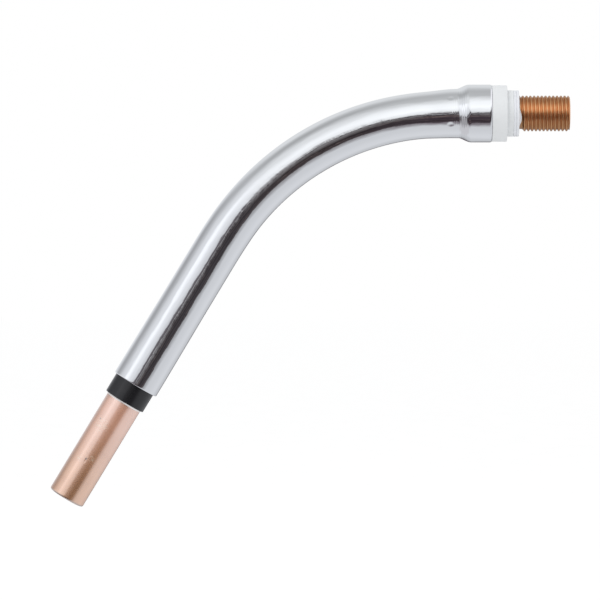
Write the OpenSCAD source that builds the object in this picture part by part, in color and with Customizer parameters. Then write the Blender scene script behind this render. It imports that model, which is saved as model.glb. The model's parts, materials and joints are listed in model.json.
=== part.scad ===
// Neck of a MIG welding torch: a bent copper conductor in an insulated, chromed jacket.
// Millimetres. X runs along the stud's axis and points out of the neck, Z is up, and the
// neck bends down in the XZ plane. The origin is on the stud's axis, where the stud leaves
// its seal washers. Diameters grow outwards from the wire passage, one wall at a time.

/* [Route of the neck] */
// Angle of the bend, in degrees
bend_angle = 58.8; // [30:0.1:80]
// Radius of the bend along the centre line
bend_radius = 102.5; // [80:0.5:140]
// How far bending draws each tube in, on the radius
bend_draw = 0.05; // [0.03:0.01:0.1]
// Straight length of the jacket between the bend and its front end
nose_straight = 67; // [40:0.5:110]

/* [Conductor] */
// Bore of the conductor tube, for wire and gas
tube_bore = 7; // [5:0.1:8]
// Wall of the conductor tube
tube_wall = 2.5; // [1.5:0.1:3.5]
// Wall of the sockets that the tube is brazed into
socket_wall = 1.15; // [1.1:0.05:2.5]
// Depth of each socket
socket_depth = 8; // [4:0.5:12]
// Film of hard solder between tube and socket
braze_gap = 0.05; // [0.02:0.01:0.1]
// Length of the solder fillet along the tube
braze_leg = 1; // [0.5:0.1:1.5]
// Rim of a socket's mouth that the solder leaves bare
braze_margin = 0.2; // [0.1:0.05:0.6]

/* [Nose connector] */
// Length of copper that shows in front of the black bush
nose_exposed = 44.5; // [25:0.5:70]
// Step of the shoulder that seats on the black bush
nose_shoulder = 0.2; // [0.2:0.05:0.6]
// Radius of the rounded tip
tip_round = 1; // [0.2:0.1:1.2]
// Nominal diameter of the thread in the tip
nose_thread_d = 10; // [9.5:0.1:11]
// Pitch of the thread in the tip
nose_thread_pitch = 1; // [0.75:0.25:1.25]
// Depth of the thread in the tip
tap_length = 12.5; // [8:0.5:25]

/* [Rear stud] */
// Nominal diameter of the stud's thread
stud_thread_d = 14; // [13:0.1:15]
// Pitch of the stud's thread
stud_pitch = 1.5; // [1:0.25:1.5]
// Length of the stud beyond the seal washers
stud_exposed = 20; // [12:0.5:30]
// Distance from the seal washers to the thread's first crest
thread_start = 0.5; // [0.3:0.1:1]
// Depth of the plain relief behind the thread, below the crests
relief_depth = 0.2; // [0.2:0.05:0.6]
// Step from the passage out to the liner's seat in the stud's end
liner_seat_step = 0.5; // [0.2:0.1:1]
// Depth of the liner seat
liner_seat_depth = 18; // [10:0.5:18]
// Countersink at each mouth
countersink = 0.6; // [0.2:0.1:0.9]

/* [Insulators] */
// Running gap at every seat, on the radius
fit_gap = 0.05; // [0.02:0.01:0.1]
// Wall of both insulators between copper and jacket
insulator_wall = 1; // [0.6:0.05:1.5]
// Gap between the sleeve and the conductor tube, on the radius
sleeve_gap = 0.15; // [0.15:0.05:0.4]
// Length of the black bush that shows in front of the jacket
bush_exposed = 8; // [4:0.5:12]
// Length of the black bush inside the jacket
bush_inside = 12; // [8:0.5:18]
// Step of the bush's collar, which stops against the jacket's front end
bush_collar_step = 0.2; // [0.1:0.05:0.6]
// Wall of the white insulator's hub
hub_wall = 1.85; // [1:0.05:2.5]
// Length of the hub
hub_length = 2.5; // [1.5:0.1:5]
// Step from the hub up to the flange
flange_step = 2; // [1.5:0.05:2.5]
// Length of the flange
flange_length = 5.9; // [3:0.1:9]
// Gap between the white insulator's spigot and the end of the bell's bore
spigot_relief = 0.55; // [0.3:0.05:1.5]
// Chamfer on the insulators' edges
edge_chamfer = 0.3; // [0.1:0.05:0.4]
// Thickness of one seal washer
washer_thickness = 1.1; // [0.8:0.1:2]

/* [Jacket] */
// Wall of the jacket
jacket_wall = 0.95; // [0.7:0.05:1.5]
// Rise from the jacket to the bell, on the radius
bell_rise = 2.15; // [1.6:0.05:3]
// Length of the bell at its full diameter
bell_length = 9.85; // [7:0.05:14]
// Length of the flare from the jacket to the bell
flare_length = 4.15; // [3:0.05:7]
// Straight length between the flare and the bend
bend_lead = 4.5; // [4:0.1:8]
// Rounding of the bell's rim
rim_round = 0.6; // [0.2:0.05:0.65]
// Number of stake marks round the jacket
stake_count = 6; // [3:1:8]
// Turn of the first stake mark from the side towards -Y, in degrees
stake_clock = 38; // [0:1:59]
// Diameter of one stake mark
stake_d = 2; // [1.2:0.1:2.4]
// Depth of one stake mark
stake_depth = 0.3; // [0.1:0.05:0.35]
// Distance from the flare to the stake marks
stake_from_flare = 2.4; // [1.8:0.1:2.6]

/* [Hidden] */
$fn = 96;

// Colours
CHROME = [0.80, 0.81, 0.83];
COPPER = [0.85, 0.58, 0.47];
THREAD_COPPER = [0.76, 0.45, 0.27];
SOLDER = [0.72, 0.68, 0.55];
BLACK = [0.13, 0.13, 0.14];
WHITE = [0.92, 0.93, 0.93];
CLEAR_WHITE = [0.95, 0.96, 0.98];
SLEEVE = [0.55, 0.27, 0.18];

// Radii, from the passage outwards
bore_r = tube_bore / 2;
tube_r = bore_r + tube_wall;
socket_r = tube_r + braze_gap;
body_r = socket_r + socket_wall;
nose_r = body_r + nose_shoulder;
insulator_bore_r = body_r + fit_gap;
insulator_r = insulator_bore_r + insulator_wall;
collar_r = insulator_r + bush_collar_step;
jacket_bore_r = insulator_r + fit_gap;
jacket_r = jacket_bore_r + jacket_wall;
bell_r = jacket_r + bell_rise;
bell_bore_r = bell_r - jacket_wall;
spigot_r = bell_bore_r - fit_gap;
hub_r = insulator_bore_r + hub_wall;
flange_r = hub_r + flange_step;
sleeve_bore_r = tube_r + sleeve_gap;

// Places along X, from the washers inwards
hub_face_x = -2 * washer_thickness;
flange_face_x = hub_face_x - hub_length;
bell_rim_x = flange_face_x - flange_length;
bell_end_x = bell_rim_x - bell_length;
flare_end_x = bell_end_x - flare_length;
bend_start_x = flare_end_x - bend_lead;
spigot_end_x = bell_end_x + spigot_relief;
stake_x = flare_end_x - stake_from_flare;

// The brazed sockets stay this far from the insulators' inner ends
socket_setback = 2;
stud_mouth_x = bend_start_x + socket_setback;
stud_seat_x = stud_mouth_x + socket_depth;

// Places along the nose, from the bend's end outwards
bush_start = nose_straight - bush_inside;
bush_end = nose_straight + bush_exposed;
tip_end = bush_end + nose_exposed;
nose_mouth = bush_start + socket_setback;
nose_seat = nose_mouth + socket_depth;

// Metric thread form, as shares of the pitch
THREAD_DEPTH = 0.5413;
TOP_FLAT = 0.125;
BASE_FLAT = 0.25;

// The stud's thread, its plain relief and the liner's seat
stud_crest_r = stud_thread_d / 2;
stud_root_r = stud_crest_r - THREAD_DEPTH * stud_pitch;
stud_ridge = stud_pitch * (1 - BASE_FLAT) / 2;
stud_turns = floor((stud_exposed - countersink - thread_start - stud_ridge) / stud_pitch) + 1;
relief_r = stud_crest_r - relief_depth;
relief_end_x = thread_start - stud_ridge;
liner_seat_r = bore_r + liner_seat_step;
liner_seat_x = stud_exposed - liner_seat_depth;

// The thread inside the tip, whose ridges are grooves cut outwards
tap_major_r = nose_thread_d / 2;
tap_minor_r = tap_major_r - THREAD_DEPTH * nose_thread_pitch;
tap_start = tip_end - tap_length;
tap_turns = floor((tap_length - countersink) / nose_thread_pitch) - 1;

// A stake mark is a ball pressed into the wall, which bulges by as much inside
stake_ball_r = (pow(stake_d / 2, 2) + pow(stake_depth, 2)) / (2 * stake_depth);
stake_centre_r = jacket_r - stake_depth + stake_ball_r;

// Length of the taper from a straight to the drawn-in bend
BEND_TAPER = 1.5;
// Steps of the flare's outline
FLARE_STEPS = 12;
// Points of a rounded edge
ROUND_STEPS = 6;

// Smooth rise from 0 to 1 as t goes from 0 to 1
function ease(t) = t * t * (3 - 2 * t);

// Outline points of the flare, at a radius offset from the jacket's outside
function flare_points(offset_r) = [
    for (i = [0:FLARE_STEPS])
        let (t = i / FLARE_STEPS)
        [jacket_r + offset_r + bell_rise * ease(t), flare_end_x + flare_length * t]
];

// Quarter circle from the side to the end face, round the corner (r, x)
function rounded_corner(r, x, radius) = [
    for (i = [0:ROUND_STEPS])
        let (a = 90 * i / ROUND_STEPS)
        [r - radius + radius * cos(a), x - radius + radius * sin(a)]
];

// A list of points from its last to its first
function reversed(points) = [for (i = [len(points) - 1:-1:0]) points[i]];

// Ridges of a thread as closed rings, from their base to their narrow top, the first one at x
function thread_points(top_r, base_r, pitch, turns, x) = [
    for (k = [0:turns - 1])
        let (
            middle = x + k * pitch,
            half_top = pitch * TOP_FLAT / 2,
            half_base = pitch * (1 - BASE_FLAT) / 2
        )
        each [
            [base_r, middle - half_base],
            [top_r, middle - half_top],
            [top_r, middle + half_top],
            [base_r, middle + half_base]
        ]
];

// Puts a shape drawn along Z on the stud's axis, with its zero at x
module on_stud_axis(x = 0) {
    translate([x, 0, 0])
        rotate([0, 90, 0])
            children();
}

// Puts a shape drawn along Z on the nose's axis, with its zero this far past the bend
module on_nose_axis(distance = 0) {
    translate([bend_start_x, 0, -bend_radius])
        rotate([0, -bend_angle, 0])
            translate([-distance, 0, bend_radius])
                rotate([0, -90, 0])
                    children();
}

// Round bar from 0 to a length along Z, with a slight taper that reaches over the bend behind it
module straight_rod(r, length) {
    rotate_extrude()
        polygon([
            [0, -BEND_TAPER],
            [r - 2 * bend_draw, -BEND_TAPER],
            [r, 0],
            [r, length],
            [0, length]
        ]);
}

// Round bar along the neck, from x behind the bend to a distance in front of it
module neck_rod(r, rear_x, nose_distance) {
    if (rear_x > bend_start_x)
        on_stud_axis(bend_start_x)
            straight_rod(r, rear_x - bend_start_x);
    translate([bend_start_x, 0, -bend_radius])
        rotate([90, 0, 0])
            rotate_extrude(start = 90, angle = bend_angle)
                translate([bend_radius, 0])
                    circle(r - bend_draw);
    on_nose_axis()
        straight_rod(r, nose_distance);
}

// Tube along the neck, open at both ends
module neck_tube(outer_r, inner_r, rear_x, nose_distance) {
    difference() {
        neck_rod(outer_r, rear_x, nose_distance);
        neck_rod(inner_r, rear_x, nose_distance);
    }
}

// Copies a shape drawn at the side towards -Y to every stake mark
module at_stakes() {
    for (k = [0:stake_count - 1])
        translate([stake_x, 0, 0])
            rotate([-stake_clock - 360 * k / stake_count, 0, 0])
                translate([0, -stake_centre_r, 0])
                    children();
}

// The flare and the bell, as a turned ring
module bell() {
    rotate_extrude()
        polygon(concat(
            flare_points(0),
            rounded_corner(bell_r, bell_rim_x, rim_round),
            [[bell_bore_r, bell_rim_x]],
            reversed(flare_points(-jacket_wall))
        ));
}

// Chromed steel tube, swaged out into a bell and staked onto the white insulator
module outer_jacket() {
    color(CHROME)
        difference() {
            union() {
                neck_tube(jacket_r, jacket_bore_r, flare_end_x, nose_straight);
                on_stud_axis()
                    bell();
                intersection() {
                    at_stakes()
                        sphere(stake_ball_r + jacket_wall);
                    on_stud_axis(bend_start_x)
                        cylinder(h = bend_lead, r = jacket_r - jacket_wall / 2);
                }
            }
            at_stakes()
                sphere(stake_ball_r);
        }
}

// Thick copper tube that carries current, wire and gas through the bend
module conductor_tube() {
    color(COPPER)
        neck_tube(tube_r, bore_r, stud_seat_x, nose_seat);
}

// Copper piece at the front, with a tapped tip
module nose_connector() {
    color(COPPER)
        on_nose_axis()
            rotate_extrude()
                polygon(concat(
                    [
                        [socket_r, nose_mouth],
                        [body_r, nose_mouth],
                        [body_r, bush_end],
                        [nose_r, bush_end]
                    ],
                    rounded_corner(nose_r, tip_end, tip_round),
                    [
                        [tap_minor_r + countersink, tip_end],
                        [tap_minor_r, tip_end - countersink]
                    ],
                    reversed(thread_points(
                        tap_major_r,
                        tap_minor_r,
                        nose_thread_pitch,
                        tap_turns,
                        tap_start + nose_thread_pitch
                    )),
                    [
                        [tap_minor_r, tap_start],
                        [bore_r, tap_start],
                        [bore_r, nose_seat],
                        [socket_r, nose_seat]
                    ]
                ));
}

// Fillet of hard solder round the tube, against a socket's mouth at zero
module braze_fillet() {
    rotate_extrude()
        polygon([
            [tube_r, 0],
            [body_r - braze_margin, 0],
            [tube_r, -braze_leg]
        ]);
}

module nose_braze_ring() {
    color(SOLDER)
        on_nose_axis(nose_mouth)
            braze_fillet();
}

module rear_braze_ring() {
    color(SOLDER)
        on_stud_axis(stud_mouth_x)
            braze_fillet();
}

// Copper stud with the outside thread, the tube's socket and the liner's seat
module rear_stud() {
    color(THREAD_COPPER)
        on_stud_axis()
            rotate_extrude()
                polygon(concat(
                    [
                        [socket_r, stud_mouth_x],
                        [body_r, stud_mouth_x],
                        [body_r, hub_face_x],
                        [relief_r, hub_face_x],
                        [relief_r, relief_end_x]
                    ],
                    thread_points(stud_crest_r, stud_root_r, stud_pitch, stud_turns, thread_start),
                    rounded_corner(stud_root_r, stud_exposed, countersink),
                    [
                        [liner_seat_r + countersink, stud_exposed],
                        [liner_seat_r, stud_exposed - countersink],
                        [liner_seat_r, liner_seat_x],
                        [bore_r, liner_seat_x],
                        [bore_r, stud_seat_x],
                        [socket_r, stud_seat_x]
                    ]
                ));
}

// Sleeve that keeps the conductor tube off the jacket, from one insulator to the other
module insulating_sleeve() {
    color(SLEEVE)
        neck_tube(insulator_r, sleeve_bore_r, bend_start_x, bush_start);
}

// Black bush between nose connector and jacket, with a collar in front of the jacket's end
module nose_insulator() {
    color(BLACK)
        on_nose_axis()
            rotate_extrude()
                polygon([
                    [insulator_bore_r, bush_start],
                    [insulator_r, bush_start],
                    [insulator_r, nose_straight],
                    [collar_r, nose_straight],
                    [collar_r, bush_end - edge_chamfer],
                    [collar_r - edge_chamfer, bush_end],
                    [insulator_bore_r, bush_end]
                ]);
}

// White stepped bush: barrel in the jacket, spigot in the bell, flange and hub behind it
module rear_insulator() {
    color(WHITE)
        difference() {
            on_stud_axis()
                rotate_extrude()
                    polygon([
                        [insulator_bore_r, bend_start_x],
                        [insulator_r, bend_start_x],
                        [insulator_r, spigot_end_x],
                        [spigot_r, spigot_end_x],
                        [spigot_r, bell_rim_x],
                        [flange_r, bell_rim_x],
                        [flange_r, flange_face_x - edge_chamfer],
                        [flange_r - edge_chamfer, flange_face_x],
                        [hub_r, flange_face_x],
                        [hub_r, hub_face_x],
                        [insulator_bore_r, hub_face_x]
                    ]);
            at_stakes()
                sphere(stake_ball_r + jacket_wall + fit_gap);
        }
}

// Thin ring on the stud, from one place along X to the next
module seal_washer(x) {
    washer_bore_r = stud_crest_r + fit_gap;
    color(CLEAR_WHITE)
        on_stud_axis(x)
            rotate_extrude()
                polygon([
                    [washer_bore_r, 0],
                    [hub_r - edge_chamfer, 0],
                    [hub_r, edge_chamfer],
                    [hub_r, washer_thickness - edge_chamfer],
                    [hub_r - edge_chamfer, washer_thickness],
                    [washer_bore_r, washer_thickness]
                ]);
}

module inner_seal_washer() {
    seal_washer(hub_face_x);
}

module outer_seal_washer() {
    seal_washer(hub_face_x + washer_thickness);
}

outer_jacket();
conductor_tube();
nose_connector();
nose_braze_ring();
rear_stud();
rear_braze_ring();
insulating_sleeve();
nose_insulator();
rear_insulator();
inner_seal_washer();
outer_seal_washer();
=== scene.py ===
"""Looks of a MIG torch's neck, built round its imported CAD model.

The neck is a bent copper conductor in an insulated, chromed jacket. Every new piece is a closed ring
carried along the neck's own centre line, in metres, in the frame of the CAD model. The sizes that the
CAD model already holds are read from it, and the sizes that only the looks need are dataclass fields.
"""

import json
import logging
import math
from collections.abc import Callable, Sequence
from dataclasses import dataclass
from enum import Enum

import bpy
import numpy as np
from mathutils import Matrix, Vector
from numpy.typing import NDArray


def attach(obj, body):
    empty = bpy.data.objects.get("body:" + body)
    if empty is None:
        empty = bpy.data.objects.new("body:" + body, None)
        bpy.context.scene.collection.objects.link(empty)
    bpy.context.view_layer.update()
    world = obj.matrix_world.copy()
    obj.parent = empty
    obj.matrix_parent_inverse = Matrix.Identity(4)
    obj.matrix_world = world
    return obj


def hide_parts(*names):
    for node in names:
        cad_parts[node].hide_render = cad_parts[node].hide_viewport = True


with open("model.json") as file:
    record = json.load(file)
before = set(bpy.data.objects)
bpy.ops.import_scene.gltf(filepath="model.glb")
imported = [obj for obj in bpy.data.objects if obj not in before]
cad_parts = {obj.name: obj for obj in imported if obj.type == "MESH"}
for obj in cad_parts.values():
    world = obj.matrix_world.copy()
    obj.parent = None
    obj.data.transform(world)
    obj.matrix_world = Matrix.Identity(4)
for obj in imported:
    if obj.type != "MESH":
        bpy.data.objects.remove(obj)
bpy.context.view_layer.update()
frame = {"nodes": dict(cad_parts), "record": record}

Array = NDArray[np.float64]
Colour = tuple[float, float, float]
Factors = tuple[float, float, float]
Spot = tuple[float, float, float, float]
Spacing = Callable[[Array, Array], Array]
MM = 0.001
BODY = "root"
LOG = logging.getLogger("torch_neck")


class Slot(Enum):
    """Material slots of the record that new pieces take."""

    JACKET = "jacket_chrome"
    NOSE = "nose_copper"
    STUD = "stud_copper"
    BLACK_BUSH = "black_bush"
    WHITE_BUSH = "white_nylon"
    SEAL = "seal_white"


class Place(Enum):
    """Coordinates that a pattern can follow."""

    ALONG_NECK = "along_neck"
    OBJECT = "object"


# ---------------------------------------------------------------------------------------------
# The centre line, and what the CAD model says of it
# ---------------------------------------------------------------------------------------------


@dataclass(frozen=True)
class CentreLine:
    """Line through the neck: straight on the stud's axis, one arc, straight on the nose's axis.

    A place s on it is the length from the origin, positive into the neck and against +X.
    """

    bend_start: float
    bend_radius: float
    bend_angle: float

    @property
    def bend_end(self) -> float:
        """Place where the arc ends and the nose's straight begins."""
        return self.bend_start + self.bend_radius * self.bend_angle

    def at(self, s: Array) -> tuple[Array, Array]:
        """Gives the centre and the outward direction of the bend at each place.

        With a = (s - bend_start) / R held between 0 and the bend's angle, b = s up to the bend's
        start and d = what lies past its end, centre = (-b - R sin a - d cos a, 0, R (cos a - 1) -
        d sin a) and outward = (-sin a, 0, cos a).

        Args:
            s: Places along the line, in any shape.

        Returns:
            Centres and outward directions, both with one more axis of length 3.
        """
        a = np.clip((s - self.bend_start) / self.bend_radius, 0.0, self.bend_angle)
        before = np.minimum(s, self.bend_start)
        past = np.maximum(s - self.bend_end, 0.0)
        x = -before - self.bend_radius * np.sin(a) - past * np.cos(a)
        z = self.bend_radius * (np.cos(a) - 1.0) - past * np.sin(a)
        flat = np.zeros_like(a)
        return np.stack([x, flat, z], -1), np.stack([-np.sin(a), flat, np.cos(a)], -1)


def node_points(node: str) -> Array:
    """Gives the vertices of a CAD node, one row each."""
    mesh = frame["nodes"][node].data
    points = np.zeros(len(mesh.vertices) * 3, np.float32)
    mesh.vertices.foreach_get("co", points)
    return points.reshape(-1, 3).astype(float)


def reach(node: str, origin: Array, axis: Array, beyond: float = -math.inf) -> Array:
    """Measures a CAD node along an axis.

    Args:
        node: The node's name.
        origin: A point of the axis.
        axis: The axis's direction, of length 1.
        beyond: Only vertices past this place count.

    Returns:
        Its lowest place, its highest place and its largest distance from the axis.
    """
    offset = node_points(node) - origin
    place = offset @ axis
    distance = np.linalg.norm(offset - place[:, None] * axis, axis=1)
    counted = place > beyond
    return np.array([place[counted].min(), place[counted].max(), distance[counted].max()])


@dataclass(frozen=True)
class NeckSizes:
    """What the CAD model says of the neck. Places are on the centre line."""

    line: CentreLine
    jacket_front: float
    jacket_radius: float
    bell_rim: float
    bell_radius: float
    bush_start: float
    bush_end: float
    bush_radius: float
    nose_start: float
    nose_tip: float
    nose_radius: float
    flange_radius: float
    hub_face: float
    hub_radius: float
    stud_start: float
    stud_end: float
    stud_radius: float
    liner_seat_radius: float
    nose_thread_minor: float

    @classmethod
    def from_frame(cls) -> "NeckSizes":
        """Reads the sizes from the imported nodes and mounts.

        The nose's axis passes through the mount point P with the bend's angle A below -X, and its
        outward direction is m = (-sin A, 0, cos A). It touches the bend's circle, whose centre is
        (-b, 0, -R), so P.m - b sin A = R (1 - cos A).

        Returns:
            The sizes, in metres.
        """
        mounts = {mount["name"]: mount for mount in frame["record"]["mounts"]}
        axis = np.array(mounts["nose_thread"]["axis"])
        angle = math.atan2(-axis[2], -axis[0])
        outward = np.array([-math.sin(angle), 0.0, math.cos(angle)])
        inward = np.array([-1.0, 0.0, 0.0])
        origin = np.zeros(3)
        insulator = reach("rear_insulator", origin, inward)
        start = insulator[1]
        touch = np.array(mounts["nose_thread"]["pos_m"]) @ outward - start * math.sin(angle)
        line = CentreLine(start, touch / (1.0 - math.cos(angle)), angle)
        nose_origin = line.at(np.array(line.bend_end))[0]
        jacket = reach("outer_jacket", nose_origin, axis, beyond=0.0)
        bush = reach("nose_insulator", nose_origin, axis)
        nose = reach("nose_connector", nose_origin, axis)
        stud = reach("rear_stud", origin, inward)
        hub = reach("inner_seal_washer", origin, inward)
        radius = {name: mount["dims"]["r_mm"] * MM for name, mount in mounts.items()}
        return cls(
            line=line,
            jacket_front=line.bend_end + jacket[1],
            jacket_radius=jacket[2],
            bell_rim=reach("outer_jacket", origin, inward)[0],
            bell_radius=float(np.abs(node_points("outer_jacket")[:, 1]).max()),
            bush_start=line.bend_end + bush[0],
            bush_end=line.bend_end + bush[1],
            bush_radius=bush[2],
            nose_start=line.bend_end + nose[0],
            nose_tip=line.bend_end + nose[1],
            nose_radius=radius["nose_seat"],
            flange_radius=insulator[2],
            hub_face=insulator[0],
            hub_radius=hub[2],
            stud_start=stud[1],
            stud_end=stud[0],
            stud_radius=radius["rear_thread"],
            liner_seat_radius=radius["liner_seat"],
            nose_thread_minor=radius["nose_thread"],
        )


# ---------------------------------------------------------------------------------------------
# Outlines and rings
# ---------------------------------------------------------------------------------------------

# Points on a rounded corner, and how points crowd together near the ends of a straight side
ARC_POINTS = 7
END_CLUSTER = 0.5
END_GAP = 0.1 * MM
FINE_STEPS = 600

# Faces that meet at more than this angle keep a sharp edge
SHARP_ANGLE = math.radians(40.0)


def ease(t: Array) -> Array:
    """Smooth rise 3 t^2 - 2 t^3 from 0 to 1, with t held between 0 and 1."""
    t = np.clip(t, 0.0, 1.0)
    return t * t * (3.0 - 2.0 * t)


def bump(distance: Array, radius: float) -> Array:
    """Round hump (1 - (distance / radius)^2)^2 of height 1, and 0 past the radius."""
    return np.clip(1.0 - (distance / radius) ** 2, 0.0, None) ** 2


def turn_from(phi: Array, middle: float) -> Array:
    """Angle from a middle, between minus and plus half a turn."""
    return (phi - middle + math.pi) % (2.0 * math.pi) - math.pi


@dataclass(frozen=True)
class Corner:
    """Corner of a section: its place on the centre line, its radius and how far it is cut back."""

    s: float
    r: float
    cut: float = 0.0


def spread(start: Array, end: Array, spacing: Spacing) -> Array:
    """Places points on a straight side, closer together near its ends.

    Points lie at equal steps of the integral of 1 / spacing(s, r) + c / (a + g) + c / (b + g), where
    a and b are the distances from the side's ends, c = END_CLUSTER and g = END_GAP.

    Args:
        start: The side's first point, which is left out.
        end: The side's last point, which is left out too.
        spacing: Wanted distance between points at each place s and radius r.

    Returns:
        The points between them.
    """
    length = float(np.linalg.norm(end - start))
    t = np.linspace(0.0, 1.0, FINE_STEPS)
    line = start + (end - start) * t[:, None]
    density = 1.0 / spacing(line[:, 0], line[:, 1])
    density = density + END_CLUSTER / (t * length + END_GAP)
    density = density + END_CLUSTER / ((1.0 - t) * length + END_GAP)
    total = np.concatenate([[0.0], np.cumsum((density[1:] + density[:-1]) / 2 * np.diff(t) * length)])
    count = max(int(math.ceil(total[-1])), 2)
    chosen = np.interp(np.linspace(0.0, total[-1], count + 1)[1:-1], total, t)
    return start + (end - start) * chosen[:, None]


def section(corners: Sequence[Corner], spacing: Spacing) -> tuple[Array, Array]:
    """Draws the closed outline of a ring's section.

    A cut corner P runs from A to B, its cut away on both sides, as (1 - w)^2 A + 2 w (1 - w) P +
    w^2 B. The sides between corners are straight.

    Args:
        corners: The corners in order.
        spacing: Wanted distance between points at each place s and radius r.

    Returns:
        The outline's points as (s, r), and how close each is to a cut corner, from 0 to 1.
    """
    points = np.array([[corner.s, corner.r] for corner in corners])
    ahead = np.roll(points, -1, axis=0) - points
    ahead = ahead / np.linalg.norm(ahead, axis=1)[:, None]
    behind = -np.roll(ahead, 1, axis=0)
    cuts = np.array([corner.cut for corner in corners])[:, None]
    first, last = points + behind * cuts, points + ahead * cuts
    w = np.linspace(0.0, 1.0, ARC_POINTS)[:, None]
    rows, edges = [], []
    for index, corner in enumerate(corners):
        if corner.cut > 0.0:
            arc = (1 - w) ** 2 * first[index] + 2 * w * (1 - w) * points[index] + w**2 * last[index]
        else:
            arc = points[index : index + 1]
        following = (index + 1) % len(corners)
        side = spread(last[index], first[following], spacing)
        rows += [arc, side]
        edges += [np.full(len(arc), float(corner.cut > 0.0)), np.zeros(len(side))]
    return np.concatenate(rows), np.concatenate(edges)


@dataclass
class Ring:
    """Closed ring round the centre line: one row per point of its section, one column per angle.

    The angle is 0 on the outside of the bend and grows towards -Y. s and r are arrays of rows by
    columns, and edge says how close each row is to a rounded edge.
    """

    s: Array
    r: Array
    edge: Array

    @classmethod
    def turned(
        cls, corners: Sequence[Corner], spacing: float | Spacing, columns: int
    ) -> "Ring":
        """Makes a ring with the same section all round.

        Args:
            corners: Corners of the section.
            spacing: Distance between points on long sides, one number or by place and radius.
            columns: Number of columns.

        Returns:
            The ring.
        """
        even = spacing if callable(spacing) else lambda s, r: np.full_like(s, spacing)
        points, edge = section(corners, even)
        ones = np.ones(columns)
        return cls(np.outer(points[:, 0], ones), np.outer(points[:, 1], ones), edge)

    @property
    def phi(self) -> Array:
        """Angle of each column."""
        return np.linspace(0.0, 2.0 * math.pi, self.s.shape[1], endpoint=False)

    def points(self, line: CentreLine, flatten: Array | float = 0.0, drift: Array | float = 0.0) -> Array:
        """Places the ring's points.

        point = centre(s) + (r (1 - f) cos(phi) - g) outward(s) + r (1 + f / 2) sin(phi) (0, -1, 0),
        where f is how much the section is flattened in the plane of the bend, and g is how far it
        lies towards the inside of the bend.

        Args:
            line: The centre line.
            flatten: The share f, one number or an array of rows by columns.
            drift: The distance g, likewise.

        Returns:
            Points, rows by columns by 3.
        """
        centre, outward = line.at(self.s)
        along = self.r * np.cos(self.phi) * (1.0 - flatten) - drift
        across = self.r * np.sin(self.phi) * (1.0 + flatten / 2.0)
        return centre + along[..., None] * outward - across[..., None] * np.array([0.0, 1.0, 0.0])

    def straightened(self) -> Array:
        """Gives each point's place on the neck if it were straight: (s, r cos phi, r sin phi)."""
        return np.stack([self.s, self.r * np.cos(self.phi), self.r * np.sin(self.phi)], -1)


def ring_object(
    name: str, ring: Ring, line: CentreLine, flatten: Array | float = 0.0, drift: Array | float = 0.0
) -> bpy.types.Object:
    """Makes the object of a ring, with its UV map and its attributes.

    Face k of the grid joins points (i, j), (i + 1, j), (i + 1, j + 1) and (i, j + 1), where both
    indices wrap round. The faces are turned over if the enclosed volume, a sixth of the sum of
    a . (b x c) over their triangles, comes out negative. The UV map holds the length along the
    section and the angle times the mean radius, both in metres.

    Args:
        name: The object's name.
        ring: The ring.
        line: The centre line.
        flatten: How much the section is flattened in the plane of the bend.
        drift: How far the section lies towards the inside of the bend.

    Returns:
        The object, at the origin.
    """
    points = ring.points(line, flatten, drift)
    rows, columns = ring.s.shape
    index = np.arange(rows * columns).reshape(rows, columns)
    below = np.roll(index, -1, axis=0)
    faces = np.stack([index, below, np.roll(below, -1, axis=1), np.roll(index, -1, axis=1)], -1)
    flat = points.reshape(-1, 3)
    a, b, c, d = (flat[faces[..., k].ravel()] for k in range(4))
    volume = np.einsum("ij,ij->", a, np.cross(b, c)) + np.einsum("ij,ij->", a, np.cross(c, d))
    step = np.linalg.norm(np.roll(points[:, 0], -1, axis=0) - points[:, 0], axis=1)
    u = np.concatenate([[0.0], np.cumsum(step)])
    v = np.linspace(0.0, 2.0 * math.pi, columns + 1) * float(ring.r.mean())
    low, high = np.repeat(u[:-1], columns), np.repeat(u[1:], columns)
    left, right = np.tile(v[:-1], rows), np.tile(v[1:], rows)
    uv = np.stack([np.stack([low, high, high, low], -1), np.stack([left, left, right, right], -1)], -1)
    faces = faces.reshape(-1, 4)
    if volume < 0.0:
        faces, uv = faces[:, ::-1], uv[:, ::-1]
    mesh = bpy.data.meshes.new(name)
    mesh.from_pydata(flat, [], faces)
    layer = mesh.uv_layers.new(name="section_and_angle")
    layer.uv.foreach_set("vector", uv.astype(np.float32).ravel())
    straight = mesh.attributes.new(Place.ALONG_NECK.value, "FLOAT_VECTOR", "POINT")
    straight.data.foreach_set("vector", ring.straightened().astype(np.float32).ravel())
    edge = mesh.attributes.new("edge", "FLOAT", "POINT")
    edge.data.foreach_set("value", np.repeat(ring.edge, columns).astype(np.float32))
    mesh.shade_smooth()
    mesh.set_sharp_from_angle(angle=SHARP_ANGLE)
    mesh.update()
    piece = bpy.data.objects.new(name, mesh)
    bpy.context.scene.collection.objects.link(piece)
    return piece


# ---------------------------------------------------------------------------------------------
# Shader building blocks
# ---------------------------------------------------------------------------------------------

Socket = bpy.types.NodeSocket
Setting = float | tuple | Socket


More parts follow.
